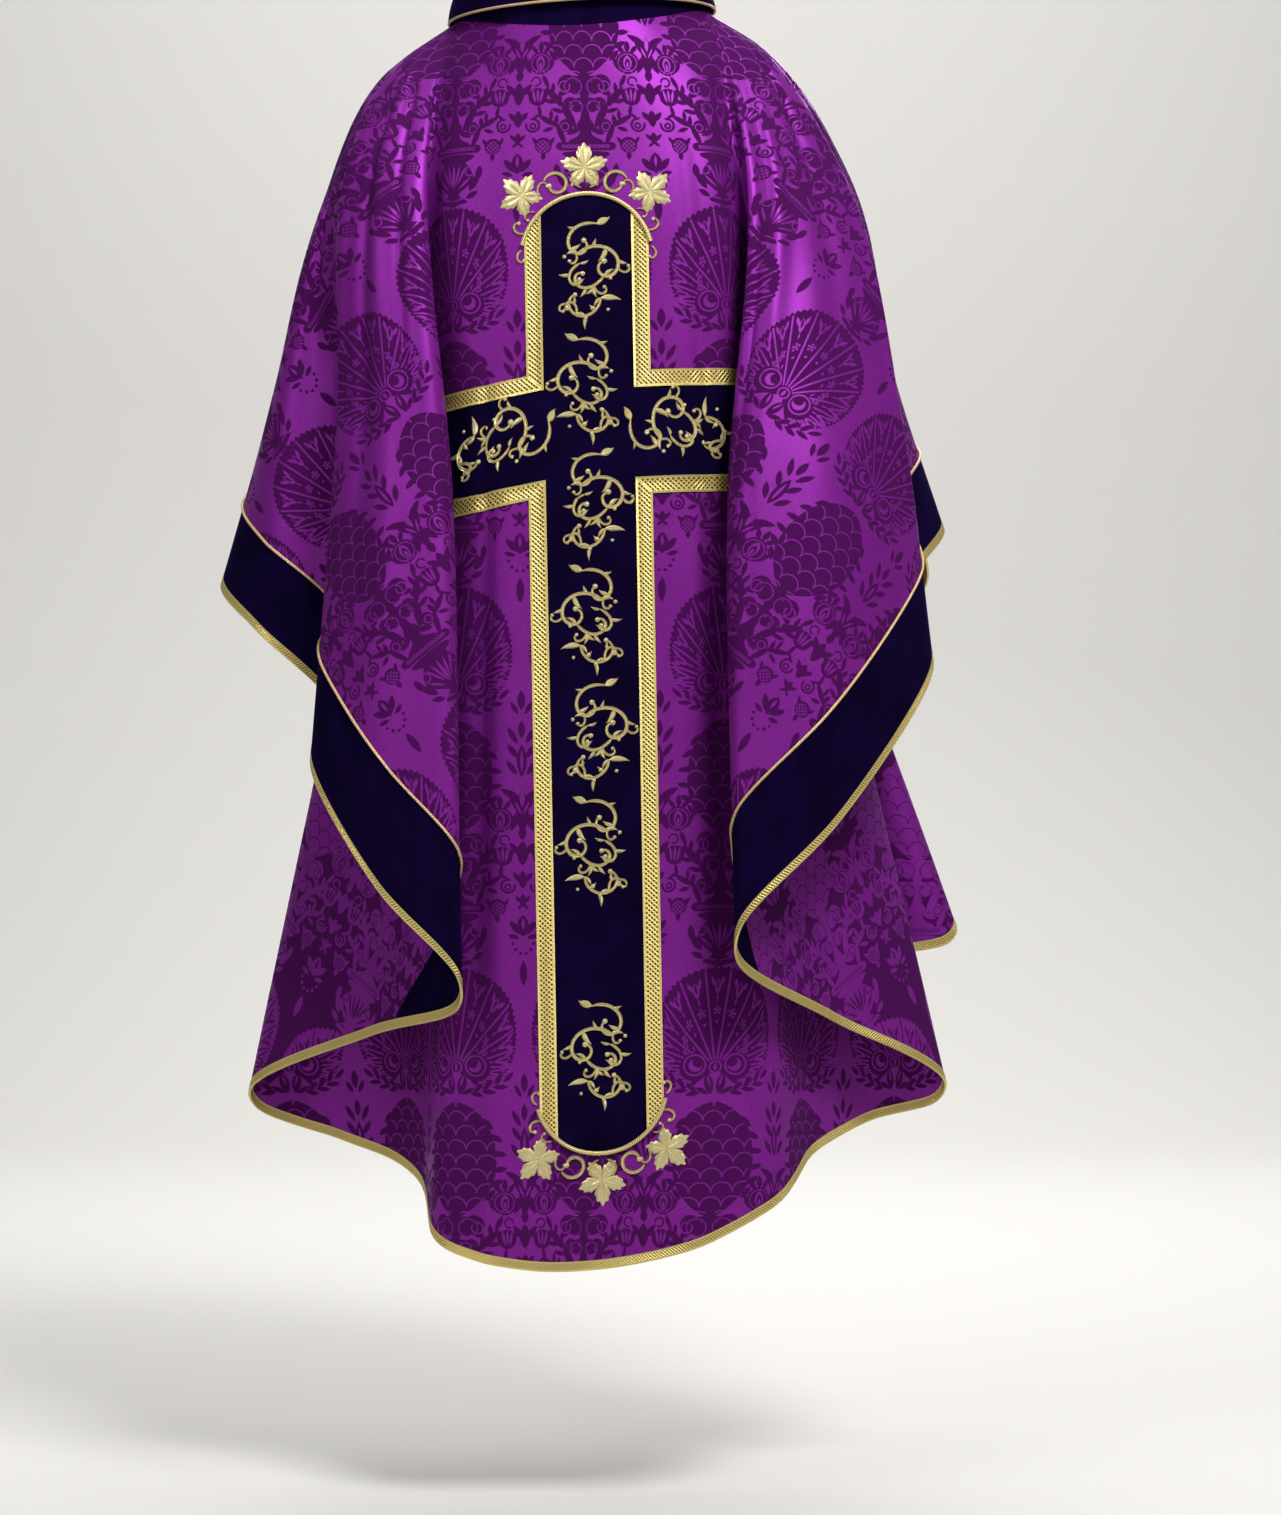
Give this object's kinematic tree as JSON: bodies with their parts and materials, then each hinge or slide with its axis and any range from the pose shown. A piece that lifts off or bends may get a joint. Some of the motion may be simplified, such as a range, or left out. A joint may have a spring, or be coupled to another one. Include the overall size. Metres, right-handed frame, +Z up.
{
  "type": "chasuble",
  "caption": "Worn full chasuble hanging open from its neck, purple damask with a velvet orphrey cross on the back, velvet sleeve bands and gold galloon edges.",
  "frame": {"origin": "centre of the neck opening at the level where the collar is sewn on", "axes": "+Z up, +Y the way the wearer faces, +X to the wearer's right"},
  "size_m": [0.7854, 0.5553, 1.336],
  "materials": {
    "damask": "purple rayon damask, satin ground with matt figures",
    "velvet": "dark violet cut-pile velvet",
    "edge_galloon": "narrow woven gold lace folded over the edge",
    "orphrey_galloon": "woven gold lace with a lozenge lattice",
    "gold_thread": "raised gold thread work",
    "piping": "twisted pale gold cord"
  },
  "bodies": {
    "root": {"back_panel": "damask", "front_panel": "damask", "left_sleeve_band": "velvet", "right_sleeve_band": "velvet", "left_band_piping": "piping", "right_band_piping": "piping", "back_hem_galloon": "edge_galloon", "front_hem_galloon": "edge_galloon", "left_sleeve_galloon": "edge_galloon", "right_sleeve_galloon": "edge_galloon", "collar_stand": "velvet", "collar_leaf": "velvet", "collar_piping": "piping", "orphrey_velvet": "velvet", "orphrey_galloon_upper_left": "orphrey_galloon", "orphrey_galloon_lower_left": "orphrey_galloon", "orphrey_galloon_end_left": "orphrey_galloon", "orphrey_galloon_upper_right": "orphrey_galloon", "orphrey_galloon_lower_right": "orphrey_galloon", "orphrey_galloon_end_right": "orphrey_galloon", "arch_cord_top": "gold_thread", "crest_leaf_top_left": "gold_thread", "crest_leaf_top_middle": "gold_thread", "crest_leaf_top_right": "gold_thread", "crest_scroll_top_left": "gold_thread", "crest_scroll_top_right": "gold_thread", "arch_cord_bottom": "gold_thread", "crest_leaf_bottom_left": "gold_thread", "crest_leaf_bottom_middle": "gold_thread", "crest_leaf_bottom_right": "gold_thread", "crest_scroll_bottom_left": "gold_thread", "crest_scroll_bottom_right": "gold_thread"}
  },
  "joints": []
}
